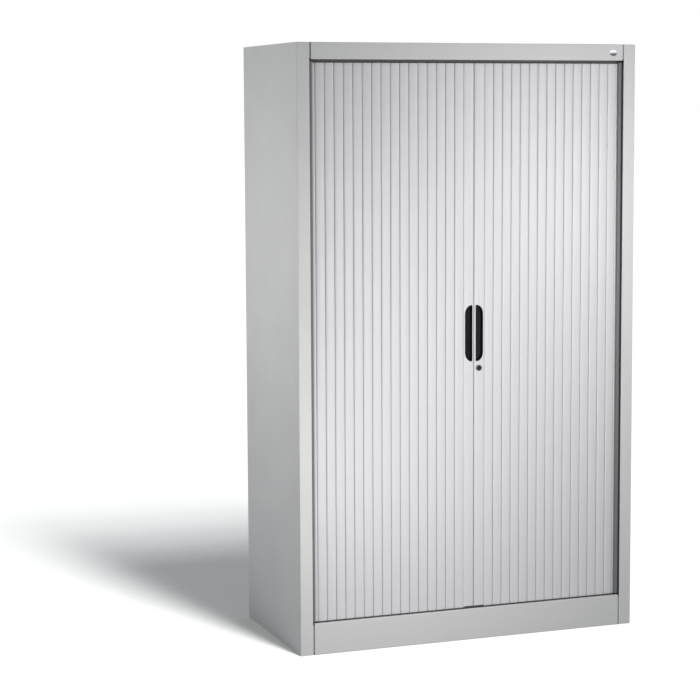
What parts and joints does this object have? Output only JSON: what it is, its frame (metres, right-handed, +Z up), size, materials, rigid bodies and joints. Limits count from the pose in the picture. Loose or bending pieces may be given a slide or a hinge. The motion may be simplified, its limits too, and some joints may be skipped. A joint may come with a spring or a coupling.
{
  "type": "roll front tool cabinet",
  "caption": "Tall sheet-steel tool cabinet with two sideways-sliding roller shutters of upright slats, recessed grips, a lock, shelves and levelling feet.",
  "frame": {"origin": "middle of the footprint, on the floor", "axes": "+Z up, the front with the shutters faces -Y, +X to the right seen from the front"},
  "size_m": [1.2, 0.565, 1.98],
  "materials": {
    "painted_steel": "light grey powder coat, fine texture",
    "black_track_plastic": "dark extruded plastic",
    "black_grip_plastic": "moulded, matt",
    "silver_slats": "silver coloured, satin",
    "grey_hinge_film": "flexible grey plastic",
    "rubber": "matt",
    "chrome": "polished",
    "zinc_steel": "zinc plated",
    "lock_metal": "dark nickel"
  },
  "bodies": {
    "carcass": {"left_side_panel": "painted_steel", "right_side_panel": "painted_steel", "left_jamb_strip": "black_track_plastic", "right_jamb_strip": "black_track_plastic", "left_bottom_track": "black_track_plastic", "right_bottom_track": "black_track_plastic", "left_top_track": "black_track_plastic", "right_top_track": "black_track_plastic", "left_inner_side": "painted_steel", "right_inner_side": "painted_steel", "top_panel": "painted_steel", "plinth_panel": "painted_steel", "base_panel": "painted_steel", "ceiling_panel": "painted_steel", "back_panel": "painted_steel", "back_panel_screws": "zinc_steel", "inner_back_panel": "painted_steel", "badge_button": "chrome", "shelf_uprights": "painted_steel", "shelf_clips": "zinc_steel", "bottom_shelf": "painted_steel", "shelf_1": "painted_steel", "shelf_2": "painted_steel", "shelf_3": "painted_steel", "shelf_4": "painted_steel", "door_stops": "rubber", "leveller_brackets": "zinc_steel", "access_plugs": "black_grip_plastic"},
    "left_door": {"left_leading_profile": "silver_slats", "left_grip_shell": "black_grip_plastic", "left_guide_shoes": "black_track_plastic", "left_slats": "silver_slats", "left_hinge_beads": "grey_hinge_film", "lock_keeper": "zinc_steel"},
    "right_door": {"right_leading_profile": "silver_slats", "right_grip_shell": "black_grip_plastic", "right_guide_shoes": "black_track_plastic", "right_slats": "silver_slats", "right_hinge_beads": "grey_hinge_film", "lock_rosette": "lock_metal", "lock_housing": "lock_metal", "lock_nut": "zinc_steel"},
    "lock_barrel": {"lock_plug": "lock_metal", "lock_hook": "zinc_steel", "hook_screw": "zinc_steel"},
    "front_left_foot": {"front_left_leveller_stem": "zinc_steel", "front_left_leveller_pad": "black_grip_plastic"},
    "front_right_foot": {"front_right_leveller_stem": "zinc_steel", "front_right_leveller_pad": "black_grip_plastic"},
    "rear_left_foot": {"rear_left_leveller_stem": "zinc_steel", "rear_left_leveller_pad": "black_grip_plastic"},
    "rear_right_foot": {"rear_right_leveller_stem": "zinc_steel", "rear_right_leveller_pad": "black_grip_plastic"}
  },
  "joints": [
    {"name": "left_door_slide", "type": "slide", "parent": "carcass", "child": "left_door", "axis": [-1, 0, 0], "range_m": [0, 0.505], "deforming": ["left_slats", "left_hinge_beads"]},
    {"name": "right_door_slide", "type": "slide", "parent": "carcass", "child": "right_door", "axis": [1, 0, 0], "range_m": [0, 0.466], "deforming": ["right_slats", "right_hinge_beads"]},
    {"name": "lock_turn", "type": "hinge", "parent": "right_door", "child": "lock_barrel", "pos_m": [0.0363, -0.25, 0.913], "axis": [0, 1, 0], "range_deg": [0, 90]},
    {"name": "front_left_foot_travel", "type": "slide", "parent": "carcass", "child": "front_left_foot", "axis": [0, 0, -1], "range_m": [0, 0.015]},
    {"name": "front_right_foot_travel", "type": "slide", "parent": "carcass", "child": "front_right_foot", "axis": [0, 0, -1], "range_m": [0, 0.015]},
    {"name": "rear_left_foot_travel", "type": "slide", "parent": "carcass", "child": "rear_left_foot", "axis": [0, 0, -1], "range_m": [0, 0.015]},
    {"name": "rear_right_foot_travel", "type": "slide", "parent": "carcass", "child": "rear_right_foot", "axis": [0, 0, -1], "range_m": [0, 0.015]}
  ]
}
